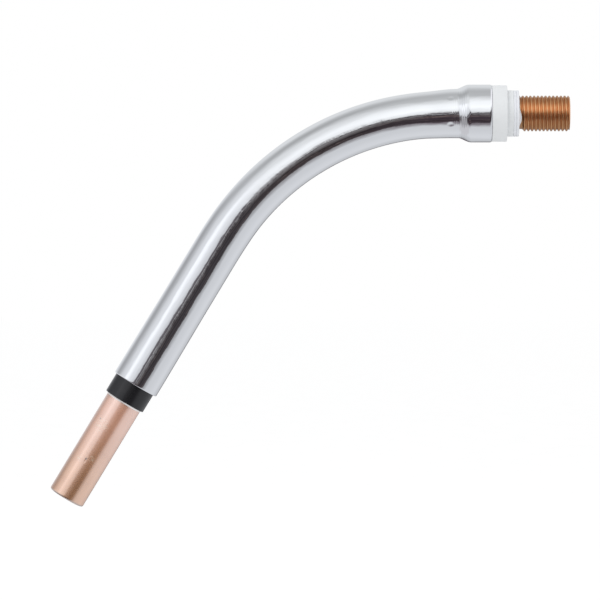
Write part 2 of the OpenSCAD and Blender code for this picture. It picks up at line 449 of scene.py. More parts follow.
class Tree:
    """Adds nodes to a shader tree, with their values and links in one call each."""

    def __init__(self, tree: bpy.types.NodeTree) -> None:
        """Takes the tree that the nodes go into."""
        self.tree = tree

    def put(self, socket: Socket, value: Setting) -> None:
        """Links a socket to another one or sets its value, where a colour may leave out its alpha."""
        if isinstance(value, bpy.types.NodeSocket):
            self.tree.links.new(value, socket)
        elif socket.type == "RGBA" and len(value) == 3:
            socket.default_value = (*value, 1.0)
        else:
            socket.default_value = value

    def add(
        self, kind: str, inputs: dict[str | int, Setting] | None = None, **settings: object
    ) -> bpy.types.Node:
        """Adds a node.

        Args:
            kind: Its type, without the ShaderNode in front.
            inputs: Value of, or link to, each input by its name or number.
            **settings: Properties of the node.

        Returns:
            The node.
        """
        node = self.tree.nodes.new("ShaderNode" + kind)
        for name, value in settings.items():
            setattr(node, name, value)
        for key, value in (inputs or {}).items():
            self.put(node.inputs[key], value)
        return node

    def math(self, operation: str, *values: Setting, clamp: bool = False) -> Socket:
        """Adds a Math node and returns its result."""
        return self.add("Math", dict(enumerate(values)), operation=operation, use_clamp=clamp).outputs[0]

    def vector(self, operation: str, first: Setting, second: Setting) -> bpy.types.Node:
        """Adds a Vector Math node, whose result is its output Vector or Value."""
        return self.add("VectorMath", {0: first, 1: second}, operation=operation)

    def scale(self, vector: Socket, factors: Setting) -> Socket:
        """Multiplies a vector by a factor per axis."""
        return self.vector("MULTIPLY", vector, factors).outputs["Vector"]

    def part(self, vector: Socket, axis: str) -> Socket:
        """Takes one part of a vector: X, Y or Z."""
        return self.add("SeparateXYZ", {0: vector}).outputs[axis]

    def noise(self, vector: Socket, scale: Setting, detail: float = 3.0, roughness: float = 0.5) -> Socket:
        """Adds a noise texture and returns its value, about 0 to 1."""
        values = {"Vector": vector, "Scale": scale, "Detail": detail, "Roughness": roughness}
        return self.add("TexNoise", values).outputs[0]

    def remap(
        self, value: Socket, low: Setting, high: Setting, to_low: float = 0.0, to_high: float = 1.0
    ) -> Socket:
        """Maps low..high smoothly to to_low..to_high and holds it there."""
        values = {"Value": value, "From Min": low, "From Max": high, "To Min": to_low, "To Max": to_high}
        return self.add("MapRange", values, interpolation_type="SMOOTHSTEP").outputs[0]

    def blend(self, factor: Setting, first: Setting, second: Setting, kind: str = "MIX") -> Socket:
        """Blends two colours. The Mix node's colours are its inputs 6 and 7 and its output 2."""
        values = {0: factor, 6: first, 7: second}
        return self.add("Mix", values, data_type="RGBA", blend_type=kind).outputs[2]

    def ramp(self, factor: Socket, stops: Sequence[tuple[float, Colour]]) -> Socket:
        """Adds a smooth colour ramp.

        Args:
            factor: Place on the ramp, from 0 to 1.
            stops: Places of the colours, rising, and the colours.

        Returns:
            The colour at that place.
        """
        node = self.add("ValToRGB", {0: factor})
        node.color_ramp.interpolation = "EASE"
        elements = node.color_ramp.elements
        while len(elements) > 1:
            elements.remove(elements[-1])
        elements[0].position = stops[0][0]
        elements[0].color = (*stops[0][1], 1.0)
        for position, colour in stops[1:]:
            elements.new(position).color = (*colour, 1.0)
        return node.outputs[0]

    def group(self, tree: bpy.types.NodeTree, inputs: dict[str | int, Setting]) -> Socket:
        """Adds a shared group with its own values and returns what it puts out."""
        return self.add("Group", inputs, node_tree=tree).outputs[0]


class SharedEffects:
    """Effects that several finishes use, each a node group that is built once."""

    def __init__(self) -> None:
        """Builds the groups."""
        self.smudges = self._smudges()
        self.fine_lines = self._fine_lines()
        self.worn_edges = self._worn_edges()
        self.scratches = self._scratches()

    @staticmethod
    def _new(name: str, output: str, **inputs: float | tuple) -> tuple[Tree, dict[str, Socket], Socket]:
        """Starts a group.

        Args:
            name: The group's name.
            output: Name of the number that it puts out.
            **inputs: Name and usual value of each input, a vector or a number.

        Returns:
            The tree, its inputs by name, and the socket that takes its result.
        """
        tree = bpy.data.node_groups.new(name, "ShaderNodeTree")
        for label, usual in inputs.items():
            kind = "NodeSocketVector" if isinstance(usual, tuple) else "NodeSocketFloat"
            tree.interface.new_socket(label, in_out="INPUT", socket_type=kind).default_value = usual
        tree.interface.new_socket(output, in_out="OUTPUT", socket_type="NodeSocketFloat")
        given, taken = tree.nodes.new("NodeGroupInput"), tree.nodes.new("NodeGroupOutput")
        return Tree(tree), {label: given.outputs[label] for label in inputs}, taken.inputs[output]

    def _smudges(self) -> bpy.types.NodeTree:
        """Soft blotches: one noise where another, three times as coarse, lets it through."""
        add, given, result = self._new("smudges", "Mask", Vector=(0.0, 0.0, 0.0), Scale=100.0)
        fine = add.noise(given["Vector"], given["Scale"], 4.0, 0.6)
        coarse = add.noise(given["Vector"], add.math("DIVIDE", given["Scale"], 3.0), 2.0)
        add.put(result, add.math("MULTIPLY", add.remap(fine, 0.35, 0.75), add.remap(coarse, 0.4, 0.65)))
        return add.tree

    def _fine_lines(self) -> bpy.types.NodeTree:
        """Drawn or turned lines: 0.6 of a noise stretched by a factor per axis and 0.4 of a wider one."""
        add, given, result = self._new(
            "fine_lines", "Height", Vector=(0.0, 0.0, 0.0), Stretch=(1.0, 1.0, 1.0)
        )
        stretched = add.scale(given["Vector"], given["Stretch"])
        thin, wide = add.noise(stretched, 1.0, 2.0, 0.5), add.noise(stretched, 0.23, 1.0, 0.5)
        add.put(result, add.math("ADD", add.math("MULTIPLY", thin, 0.6), add.math("MULTIPLY", wide, 0.4)))
        return add.tree

    def _worn_edges(self) -> bpy.types.NodeTree:
        """Wear on rounded edges: the edge attribute where a noise passes 0.8 - 0.6 Amount."""
        add, given, result = self._new(
            "worn_edges", "Mask", Edge=0.0, Vector=(0.0, 0.0, 0.0), Scale=600.0, Amount=0.5
        )
        patchy = add.noise(given["Vector"], given["Scale"], 4.0, 0.65)
        limit = add.math("SUBTRACT", 0.8, add.math("MULTIPLY", given["Amount"], 0.6))
        add.put(result, add.math("MULTIPLY", given["Edge"], add.remap(patchy, limit, 0.85)))
        return add.tree

    def _scratches(self) -> bpy.types.NodeTree:
        """Hairline scratches: borders of stretched, warped cells where a noise passes 0.75 - 0.4 Amount."""
        add, given, result = self._new(
            "scratches", "Mask", Vector=(0.0, 0.0, 0.0), Scale=120.0, Width=0.01, Amount=0.5
        )
        warp = add.math("MULTIPLY", add.noise(given["Vector"], 40.0, 1.0), 4.0 * MM)
        moved = add.vector("ADD", given["Vector"], warp).outputs["Vector"]
        cells = {"Vector": add.scale(moved, (0.35, 1.0, 1.0)), "Scale": given["Scale"]}
        border = add.add("TexVoronoi", cells, feature="DISTANCE_TO_EDGE").outputs["Distance"]
        limit = add.math("SUBTRACT", 0.75, add.math("MULTIPLY", given["Amount"], 0.4))
        broken = add.remap(add.noise(given["Vector"], 300.0, 2.0), limit, 0.8)
        add.put(result, add.math("MULTIPLY", add.remap(border, given["Width"], 0.0), broken))
        return add.tree


@dataclass(frozen=True)
class Wave:
    """Slow unevenness of a surface: a noise of this scale, longer along the neck, and its depth."""

    depth: float
    scale: float
    along: float


class Surface:
    """Material in the making: its tree, its shader and the coordinates its patterns follow."""

    def __init__(self, name: str, place: Place, effects: SharedEffects) -> None:
        """Starts a material.

        Args:
            name: The material's name.
            place: The coordinates that its patterns follow.
            effects: The shared effects.
        """
        self.material = bpy.data.materials.new(name)
        self.material.use_nodes = True
        self.effects = effects
        self.nodes = Tree(self.material.node_tree)
        self.shader = self.material.node_tree.nodes["Principled BSDF"]
        if place is Place.ALONG_NECK:
            self.vector = self.nodes.add("Attribute", attribute_name=place.value).outputs["Vector"]
        else:
            self.vector = self.nodes.add("TexCoord").outputs["Object"]
        self.edge = self.nodes.add("Attribute", attribute_name="edge").outputs["Fac"]

    def set(self, **values: Setting) -> None:
        """Sets or links inputs of the shader, named with _ for each space."""
        for key, value in values.items():
            self.nodes.put(self.shader.inputs[key.replace("_", " ")], value)

    def smudges(self, scale: float) -> Socket:
        """Soft blotches, smaller with a larger scale."""
        return self.nodes.group(self.effects.smudges, {"Vector": self.vector, "Scale": scale})

    def scratches(self, scale: float, width: float, amount: float) -> Socket:
        """Sparse hairline scratches."""
        values = {"Vector": self.vector, "Scale": scale, "Width": width, "Amount": amount}
        return self.nodes.group(self.effects.scratches, values)

    def worn(self, scale: float, amount: float) -> Socket:
        """Wear on the rounded edges, in patches."""
        values = {"Edge": self.edge, "Vector": self.vector, "Scale": scale, "Amount": amount}
        return self.nodes.group(self.effects.worn_edges, values)

    def lines(self, stretch: Factors) -> Socket:
        """Height of drawn or turned lines, fine along an axis with a large factor."""
        return self.nodes.group(self.effects.fine_lines, {"Vector": self.vector, "Stretch": stretch})

    def relief(self, height: Socket, depth: float, below: Socket | None = None) -> Socket:
        """Adds a bump of a real depth, on top of another one if it is given."""
        values = {"Height": height, "Distance": depth, "Strength": 1.0}
        if below is not None:
            values["Normal"] = below
        return self.nodes.add("Bump", values).outputs["Normal"]

    def waved(self, wave: Wave, below: Socket | None = None) -> Socket:
        """Adds slow unevenness, on top of another bump if it is given."""
        stretched = self.nodes.scale(self.vector, (wave.along, 1.0, 1.0))
        return self.relief(self.nodes.noise(stretched, wave.scale, 2.0), wave.depth, below)

    def near(self, spots: Sequence[Spot]) -> Socket:
        """Marks round spots of a surface whose patterns run along the neck.

        Args:
            spots: Middle of each spot, as its place on the neck, its distance outwards and its
                distance towards the front, and its radius.

        Returns:
            The mask, from 0 past the radius to 1 within a quarter of it.
        """
        mask: Setting = 0.0
        for *middle, radius in spots:
            away = self.nodes.vector("DISTANCE", self.vector, tuple(middle)).outputs["Value"]
            mask = self.nodes.math("MAXIMUM", mask, self.nodes.remap(away, radius, 0.25 * radius))
        return mask


# ---------------------------------------------------------------------------------------------
# Finishes
# ---------------------------------------------------------------------------------------------


@dataclass(frozen=True)
class ChromePlate:
    """Bright chrome over drawn steel tube: faint waves, drawing lines and handling smudges.

    The swaging tool left fine rings round the neck before the bell: a sine of swaged_pitch that
    fades out over swaged_width on both sides of swaged_place.
    """

    colour: Colour = (0.88, 0.885, 0.90)
    worn_colour: Colour = (0.70, 0.69, 0.68)
    worn_share: float = 0.5
    roughness: float = 0.018
    smudge_roughness: float = 0.04
    scratch_share: float = 1.5
    wave: Wave = Wave(0.14 * MM, 180.0, 0.35)
    ripple: Wave = Wave(0.026 * MM, 520.0, 0.6)
    stretch: Factors = (60.0, 2600.0, 2600.0)
    line_depth: float = 0.008 * MM
    swaged_place: float = 23.0 * MM
    swaged_width: float = 4.5 * MM
    swaged_pitch: float = 0.85 * MM
    swaged_depth: float = 0.011 * MM

    def material(self, effects: SharedEffects) -> bpy.types.Material:
        """Builds the material.

        Args:
            effects: The shared effects.

        Returns:
            The material.
        """
        made = Surface("chrome_plate", Place.ALONG_NECK, effects)
        nodes = made.nodes
        scratched = nodes.math("MULTIPLY", made.scratches(150.0, 0.012, 0.25), self.scratch_share)
        marked = nodes.math("ADD", made.smudges(260.0), scratched)
        dull = nodes.math("MULTIPLY", marked, self.smudge_roughness)
        worn = nodes.math("MULTIPLY", made.worn(900.0, 0.5), self.worn_share)
        s = nodes.part(made.vector, "X")
        away = nodes.math("ABSOLUTE", nodes.math("SUBTRACT", s, self.swaged_place))
        turned = nodes.math("SINE", nodes.math("MULTIPLY", s, 2.0 * math.pi / self.swaged_pitch))
        rings = nodes.math("MULTIPLY", turned, nodes.remap(away, self.swaged_width, 0.0))
        formed = made.waved(self.ripple, made.waved(self.wave))
        swaged = made.relief(rings, self.swaged_depth, formed)
        made.set(
            Base_Color=nodes.blend(worn, self.colour, self.worn_colour),
            Metallic=1.0,
            Roughness=nodes.math("ADD", dull, self.roughness, clamp=True),
            Normal=made.relief(made.lines(self.stretch), self.line_depth, swaged),
        )
        return made.material


@dataclass
class Look:
    """What a copper finish has so far: each entry is a socket or a plain value."""

    colour: Setting
    metallic: Setting
    roughness: Setting
    normal: Socket
    film: Setting


@dataclass(frozen=True)
class Copper:
    """Bare copper or solder, drawn or turned, with a little tarnish and handling marks."""

    name: str
    colour: Colour
    tarnish: Colour
    place: Place = Place.ALONG_NECK
    roughness: float = 0.35
    uneven: float = 0.10
    tarnish_share: float = 0.5
    cloud_share: float = 0.6
    metallic: float = 1.0
    ior: float = 1.5
    film: float = 0.0
    film_ior: float = 1.5
    worn_share: float = 0.7
    worn_gain: float = 1.12
    stretch: Factors = (2400.0, 120.0, 120.0)
    line_depth: float = 0.0015 * MM
    scratch_depth: float = 0.008 * MM

    def look(self, made: Surface) -> Look:
        """Gives the plain metal: tarnish in clouds and smudges, bright edges, lines and scratches.

        Args:
            made: The surface in the making.

        Returns:
            Its look.
        """
        nodes = made.nodes
        smudges, lines = made.smudges(420.0), made.lines(self.stretch)
        clouds = nodes.remap(nodes.noise(made.vector, 160.0, 4.0, 0.6), 0.35, 0.7)
        spread_out = nodes.math("ADD", nodes.math("MULTIPLY", clouds, self.cloud_share), smudges)
        dull = nodes.math("MULTIPLY", spread_out, self.tarnish_share, clamp=True)
        bright = tuple(min(1.0, self.worn_gain * part) for part in self.colour)
        worn = nodes.math("MULTIPLY", made.worn(1500.0, 0.8), self.worn_share)
        uneven = nodes.math("ADD", nodes.math("MULTIPLY", lines, 0.5), smudges)
        roughened = nodes.math("MULTIPLY", uneven, self.uneven)
        whole = nodes.math("SUBTRACT", 1.0, made.scratches(260.0, 0.02, 0.5))
        return Look(
            colour=nodes.blend(worn, nodes.blend(dull, self.colour, self.tarnish), bright),
            metallic=self.metallic,
            roughness=nodes.math("ADD", roughened, self.roughness, clamp=True),
            normal=made.relief(whole, self.scratch_depth, made.relief(lines, self.line_depth)),
            film=self.film,
        )

    def material(self, effects: SharedEffects) -> bpy.types.Material:
        """Builds the material.

        Args:
            effects: The shared effects.

        Returns:
            The material.
        """
        made = Surface(self.name, self.place, effects)
        look = self.look(made)
        made.set(Base_Color=look.colour, Metallic=look.metallic, Roughness=look.roughness)
        made.set(IOR=self.ior, Normal=look.normal)
        made.set(Coat_Weight=look.film, Coat_IOR=self.film_ior, Coat_Roughness=self.roughness)
        return made.material


@dataclass(frozen=True, kw_only=True)
class SatinCopper(Copper):
    """Satin copper under a clear glossy film, with a painted highlight on the collar next to its start and
    painted shade darkening it towards its end.

    Lengths are from the start or the end, inwards. The outward side is darker, with less film.
    """

    start: float
    end: float
    collar_highlight: Colour = (1.0, 0.96, 0.90)
    collar_highlight_full: float = 0.50 * MM
    collar_highlight_end: float = 0.75 * MM
    tip_shade_length: float = 42.0 * MM
    tip_shade_tone: Colour = (0.91, 0.86, 0.52)
    end_metallic: float = 0.52
    rim_shade: Colour = (0.30, 0.16, 0.09)
    rim_start: float = 0.95 * MM
    rim_full: float = 0.40 * MM
    rim_share: float = 0.85
    scuffs: tuple[Spot, ...] = ()
    scuff_colour: Colour = (1.0, 0.74, 0.48)
    scuff_share: float = 0.6
    scuff_roughness: float = 0.15
    scuff_depth: float = 0.02 * MM
    pits: tuple[Spot, ...] = ()
    pit_colour: Colour = (0.16, 0.08, 0.05)
    wave: Wave = Wave(0.022 * MM, 330.0, 0.6)
    shade: Colour = (0.30, 0.17, 0.12)
    shade_share: float = 0.60
    shade_start: float = 5.0 * MM
    shade_end: float = 7.0 * MM
    film_shade: float = 0.28

    def look(self, made: Surface) -> Look:
        """Gives the plain metal with its ends, its marks, slow waves and its darker side.

        Args:
            made: The surface in the making.

        Returns:
            Its look.
        """
        look = super().look(made)
        self.finish_ends(made, look)
        self.mark(made, look)
        look.normal = made.waved(self.wave, look.normal)
        outward = made.nodes.remap(made.nodes.part(made.vector, "Y"), self.shade_start, self.shade_end)
        shaded = made.nodes.math("MULTIPLY", outward, self.shade_share)
        look.colour = made.nodes.blend(shaded, look.colour, self.shade)
        look.film = made.nodes.math("MULTIPLY_ADD", outward, -self.film_shade, self.film)
        return look

    def finish_ends(self, made: Surface, look: Look) -> None:
        """Paints a pale highlight on the collar at the start, painted shade that darkens the metal towards
        the end, and darker painted shade on the end's rounded edge.

        Args:
            made: The surface in the making.
            look: Its look, which is changed.
        """
        nodes = made.nodes
        s = nodes.part(made.vector, "X")
        # Painted shade: the metal darkens and turns yellower towards the end, the tip.
        near_end = nodes.remap(s, self.end - self.tip_shade_length, self.end)
        tone = nodes.blend(near_end, (1.0, 1.0, 1.0), self.tip_shade_tone)
        colour = nodes.blend(1.0, look.colour, tone, "MULTIPLY")
        metallic = nodes.math("MULTIPLY_ADD", near_end, self.end_metallic - self.metallic, self.metallic)
        # Painted highlight: a pale, non-metallic band on the collar next to the start, where its shoulder
        # catches the light.
        near_start = nodes.remap(s, self.start + self.collar_highlight_end, self.start + self.collar_highlight_full)
        colour = nodes.blend(near_start, colour, self.collar_highlight)
        look.metallic = nodes.math("MULTIPLY", metallic, nodes.math("SUBTRACT", 1.0, near_start))
        # Painted shade: a dark brown band on the rounded edge of the end.
        rim_shade = nodes.remap(s, self.end - self.rim_start, self.end - self.rim_full, 0.0, self.rim_share)
        look.colour = nodes.blend(rim_shade, colour, self.rim_shade)

    def mark(self, made: Surface, look: Look) -> None:
        """Adds grainy pale scuffs, a little raised and duller, and dark pits.

        Args:
            made: The surface in the making.
            look: Its look, which is changed.
        """
        nodes = made.nodes
        grain = nodes.noise(nodes.scale(made.vector, (1.0, 0.45, 0.45)), 2100.0, 3.0, 0.6)
        scuffed = nodes.math("MULTIPLY", made.near(self.scuffs), nodes.remap(grain, 0.48, 0.60))
        rubbed = nodes.math("MULTIPLY", scuffed, self.scuff_share)
        colour = nodes.blend(rubbed, look.colour, self.scuff_colour)
        look.colour = nodes.blend(made.near(self.pits), colour, self.pit_colour)
        look.roughness = nodes.math("MULTIPLY_ADD", scuffed, self.scuff_roughness, look.roughness)
        look.normal = made.relief(scuffed, self.scuff_depth, look.normal)


@dataclass(frozen=True, kw_only=True)
class ThreadCopper(Copper):
    """Machined copper thread, with painted shade in its deepest grooves and on its upper and lower sides.

    With r the distance from the axis, the tone is root_shade_tone at the radius root and rises to 1 at the
    radius crest: painted shade in the deep relief and run-out next to the washers. It is multiplied by a
    factor that falls to side_shade_tone above and below, away from the front: painted shade on the upper and
    lower sides. The front is at the height middle.
    """

    root: float = 5.95 * MM
    crest: float = 6.25 * MM
    root_shade_tone: float = 0.25
    middle: float = 0.3 * MM
    side_start: float = 0.6 * MM
    side_end: float = 6.0 * MM
    side_shade_tone: float = 0.66

    def look(self, made: Surface) -> Look:
        """Gives the plain metal, with its colour multiplied by both tones.

        Args:
            made: The surface in the making.

        Returns:
            Its look.
        """
        look = super().look(made)
        nodes = made.nodes
        y, z = nodes.part(made.vector, "Y"), nodes.part(made.vector, "Z")
        squares = nodes.math("ADD", nodes.math("POWER", y, 2.0), nodes.math("POWER", z, 2.0))
        # Painted shade: darker below the radius crest, in the deep relief and run-out next to the washers.
        depth = nodes.remap(nodes.math("SQRT", squares), self.root, self.crest, self.root_shade_tone, 1.0)
        away = nodes.math("ABSOLUTE", nodes.math("SUBTRACT", y, self.middle))
        # Painted shade: darker above and below, away from the front.
        side = nodes.remap(away, self.side_start, self.side_end, 1.0, self.side_shade_tone)
        look.colour = nodes.blend(1.0, look.colour, nodes.math("MULTIPLY", depth, side), "MULTIPLY")
        return look


@dataclass(frozen=True)
class Plastic:
    """Turned or moulded plastic, with fine tool marks, slight stains and rubbed edges."""

    name: str
    colour: Colour
    stain: Colour
    rubbed: Colour
    roughness: float
    glow: float = 0.0
    glow_depth: float = 0.8 * MM
    stain_share: float = 0.25
    rubbed_share: float = 0.6
    line_roughness: float = 0.15
    line_mean: float = 0.07
    stretch: Factors = (3000.0, 150.0, 150.0)
    line_depth: float = 0.002 * MM
    grain_depth: float = 0.003 * MM

    def material(self, effects: SharedEffects) -> bpy.types.Material:
        """Builds the material.

        Args:
            effects: The shared effects.

        Returns:
            The material.
        """
        made = Surface(self.name, Place.ALONG_NECK, effects)
        nodes = made.nodes
        lines = made.lines(self.stretch)
        smudges = nodes.math("MULTIPLY", made.smudges(500.0), self.stain_share)
        worn = nodes.math("MULTIPLY", made.worn(1200.0, 0.6), self.rubbed_share)
        marked = nodes.math("MULTIPLY", lines, self.line_roughness)
        grain = nodes.noise(made.vector, 4000.0, 2.0)
        made.set(
            Base_Color=nodes.blend(worn, nodes.blend(smudges, self.colour, self.stain), self.rubbed),
            Roughness=nodes.math("ADD", marked, self.roughness - self.line_mean, clamp=True),
            Normal=made.relief(grain, self.grain_depth, made.relief(lines, self.line_depth)),
        )
        if self.glow > 0.0:
            made.set(Subsurface_Weight=self.glow, Subsurface_Radius=(1.0, 1.0, 1.0))
            made.set(Subsurface_Scale=self.glow_depth)
        return made.material


@dataclass(frozen=True)
class CoatedSleeve:
    """Glass braid under a red-brown silicone coat."""

    colour: Colour = (0.36, 0.10, 0.05)
    worn: Colour = (0.50, 0.22, 0.14)
    worn_share: float = 0.5
    roughness: float = 0.55
    strand: float = 900.0
    strand_depth: float = 0.05 * MM

    def material(self, effects: SharedEffects) -> bpy.types.Material:
        """Builds the material.

        Args:
            effects: The shared effects.

        Returns:
            The material.
        """
        made = Surface("coated_sleeve", Place.OBJECT, effects)
        nodes = made.nodes
        worn = nodes.math("MULTIPLY", made.smudges(300.0), self.worn_share)
        bands = {"Vector": made.vector, "Scale": self.strand, "Distortion": 1.5}
        braid = nodes.add("TexWave", bands, bands_direction="DIAGONAL").outputs["Fac"]
        made.set(
            Base_Color=nodes.blend(worn, self.colour, self.worn),
            Roughness=self.roughness,
            Normal=made.relief(braid, self.strand_depth),
        )
        return made.material


# ---------------------------------------------------------------------------------------------
# Sub-assemblies
# ---------------------------------------------------------------------------------------------

# How far corners are cut back that only have to be less than sharp
FINE_CUT = 0.1 * MM


def fit(piece: bpy.types.Object, node: str, material: bpy.types.Material) -> None:
    """Puts a new piece in the place of a CAD node, on the neck's one body, in its finish.

    Args:
        piece: The new piece.
        node: The CAD node that it replaces.
        material: Its finish.
    """
    piece.data.materials.append(material)
    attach(piece, BODY)
    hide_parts(node)
    LOG.info("%s: %d faces, in place of %s", piece.name, len(piece.data.polygons), node)


def dress(node: str, material: bpy.types.Material) -> None:
    """Gives a CAD node that stays as it is a better finish.

    Args:
        node: The node.
        material: Its finish.
    """
    kept = frame["nodes"][node]
    if not kept.material_slots:
        kept.data.materials.append(material)
    for held in kept.material_slots:
        held.material = material
    LOG.info("%s: kept, in %s", node, material.name)


@dataclass
class Stakes:
    """Ring of small dents that hold the jacket on the white bush, set by hand and not quite even."""

    place: float = 27.0 * MM
    angles: tuple[float, ...] = (53.5, 119.5, 178.0, 237.0, 296.0, 355.0)
    half_length: float = 1.7 * MM
    half_width: float = 1.25 * MM
    depth: float = 0.13 * MM

    def depth_at(self, s: Array, phi: Array, wall_radius: float) -> Array:
        """Gives how far the wall is pressed in at each point.

        Each dent is depth (1 - d^2)^2, where d is the distance from its middle on the wall in
        parts of its half length along the neck and of its half width across it.

        Args:
            s: Places on the centre line, rows by columns.
            phi: Angles of the columns.
            wall_radius: The wall's radius there.

        Returns:
            Depths, rows by columns.
        """
        total = np.zeros_like(s)
        for middle in np.radians(self.angles):
            along = (s - self.place) / self.half_length
            across = wall_radius * turn_from(phi, middle) / self.half_width
            total = total + bump(np.hypot(along, across), 1.0)
        return self.depth * total


@dataclass
class Jacket:
    """Chromed steel tube, swaged out into a bell over the white bush.

    It swells a little before the bell and at its front, is slightly flattened in the bend, and
    lies a little inside the centre line. A row is the distance between points along the neck.
    """

    sizes: NeckSizes
    stakes: Stakes
    wall: float = 0.95 * MM
    swell: float = 0.45 * MM
    swell_start: float = 38.0 * MM
    flare_start: float = 24.1 * MM
    flare_skew: float = 0.45 * MM
    flare_length: float = 5.0 * MM
    flare_shape: float = 0.85
    front_swell: float = 0.22 * MM
    front_lead: float = 45.0 * MM
    flatten: float = 0.012
    flatten_lead: float = 18.0 * MM
    drift: float = 0.40 * MM
    drift_start: float = 25.0 * MM
    drift_lead: float = 10.0 * MM
    drift_kept: float = 0.6
    rim_cut: float = 0.9 * MM
    front_cut: float = 0.55 * MM
    inner_front_cut: float = 0.15 * MM
    stake_row: float = 0.18 * MM
    flare_row: float = 0.26 * MM
    bend_row: float = 1.1 * MM
    straight_row: float = 2.5 * MM
    inside_row: float = 0.9 * MM
    inside_widening: float = 1.6
    columns: int = 224

    def outer_radius(self, s: Array, phi: Array) -> Array:
        """Gives the outside radius.

        r = jacket radius + swell ease((swell_start - s) / (swell_start - flare_start)) +
        front_swell ease(1 - (front - s) / front_lead) + what is left up to the bell's radius times
        ease(t ^ flare_shape), with t = (f - s) / flare_length and f = flare_start + flare_skew
        cos(phi), less the stake dents.

        Args:
            s: Places, rows by columns.
            phi: Angles of the columns.

        Returns:
            Radii, rows by columns.
        """
        sizes = self.sizes
        swollen = self.swell * ease((self.swell_start - s) / (self.swell_start - self.flare_start))
        swollen = swollen + self.front_swell * ease(1.0 - (sizes.jacket_front - s) / self.front_lead)
        start = self.flare_start + self.flare_skew * np.cos(phi)
        t = np.clip((start - s) / self.flare_length, 0.0, 1.0)
        rise = sizes.bell_radius - sizes.jacket_radius - self.swell
        radius = sizes.jacket_radius + swollen + rise * ease(t**self.flare_shape)
        return radius - self.stakes.depth_at(s, phi, sizes.jacket_radius + self.swell)

    def spacing(self, s: Array, h: Array) -> Array:
        """Gives the wanted row: fine at the dents and the flare, and wide inside.

        Args:
            s: Places on the centre line.
            h: Heights in the wall.

        Returns:
            Distances between points along the neck.
        """
        near = np.abs(s - self.stakes.place) < 1.1 * self.stakes.half_length
        flare = (s > self.flare_start - 1.3 * self.flare_length) & (s < self.flare_start + 1.5 * MM)
        wide = np.where(s > self.sizes.line.bend_end, self.straight_row, self.bend_row)
        outside = np.where(near, self.stake_row, np.where(flare, self.flare_row, wide))
        inside = np.maximum(outside, self.inside_row) * self.inside_widening
        return np.where(h > self.wall / 2.0, outside, inside)

    def build(self) -> bpy.types.Object:
        """Builds the jacket's closed shell.

        The section is first drawn flat, as place s and height h in the wall, and then carried to
        r = outer_radius(s, phi) - wall + h. The drift rises past the flare and falls to the share
        drift_kept of it past the bend.

        Returns:
            The object.
        """
        sizes, line = self.sizes, self.sizes.line
        corners = [
            Corner(sizes.jacket_front, self.wall, self.front_cut),
            Corner(sizes.bell_rim, self.wall, self.rim_cut),
            Corner(sizes.bell_rim, 0.0, FINE_CUT),
            Corner(sizes.jacket_front, 0.0, self.inner_front_cut),
        ]
        ring = Ring.turned(corners, self.spacing, self.columns)
        ring.r = self.outer_radius(ring.s, ring.phi) - self.wall + ring.r
        s = ring.s
        bent = ease((s - line.bend_start) / self.flatten_lead) * ease((line.bend_end - s) / self.flatten_lead)
        fallen = ease((s - line.bend_end + self.drift_lead / 2.0) / self.drift_lead)
        drift = ease((s - self.drift_start) / self.drift_lead) * (1.0 - (1.0 - self.drift_kept) * fallen)
        return ring_object("jacket_shell", ring, line, self.flatten * bent, self.drift * drift)

    def make(self, effects: SharedEffects) -> None:
        """Builds and dresses the jacket."""
        fit(self.build(), "outer_jacket", ChromePlate().material(effects))


@dataclass
class Thread:
    """Right-hand metric thread on the stud's axis or the nose's, as a height at each point.

    The crest and the root are flats, in parts of the pitch.
    """

    pitch: float
    phase: float
    crest: float = 0.2
    root: float = 0.14
    depth_share: float = 0.5413

    @property
    def depth(self) -> float:
        """Depth from crest to root."""
        return self.depth_share * self.pitch

    def height(self, s: Array, phi: Array) -> Array:
        """Gives the ridge's height at each point, from 0 at the root to 1 on the crest.

        A point lies on the turn (phase - s) / pitch - phi / 2 pi. With q its distance from the
        nearest whole number, height = (edge - q) / flank held between 0 and 1, where edge =
        (1 - root) / 2 and flank = edge - crest / 2.

        Args:
            s: Places, rows by columns.
            phi: Angles of the columns.

        Returns:
            Heights, rows by columns.
        """
        turns = (self.phase - s) / self.pitch - phi / (2.0 * math.pi)
        q = np.abs(turns - np.round(turns))
        edge = (1.0 - self.root) / 2.0
        return np.clip((edge - q) / (edge - self.crest / 2.0), 0.0, 1.0)


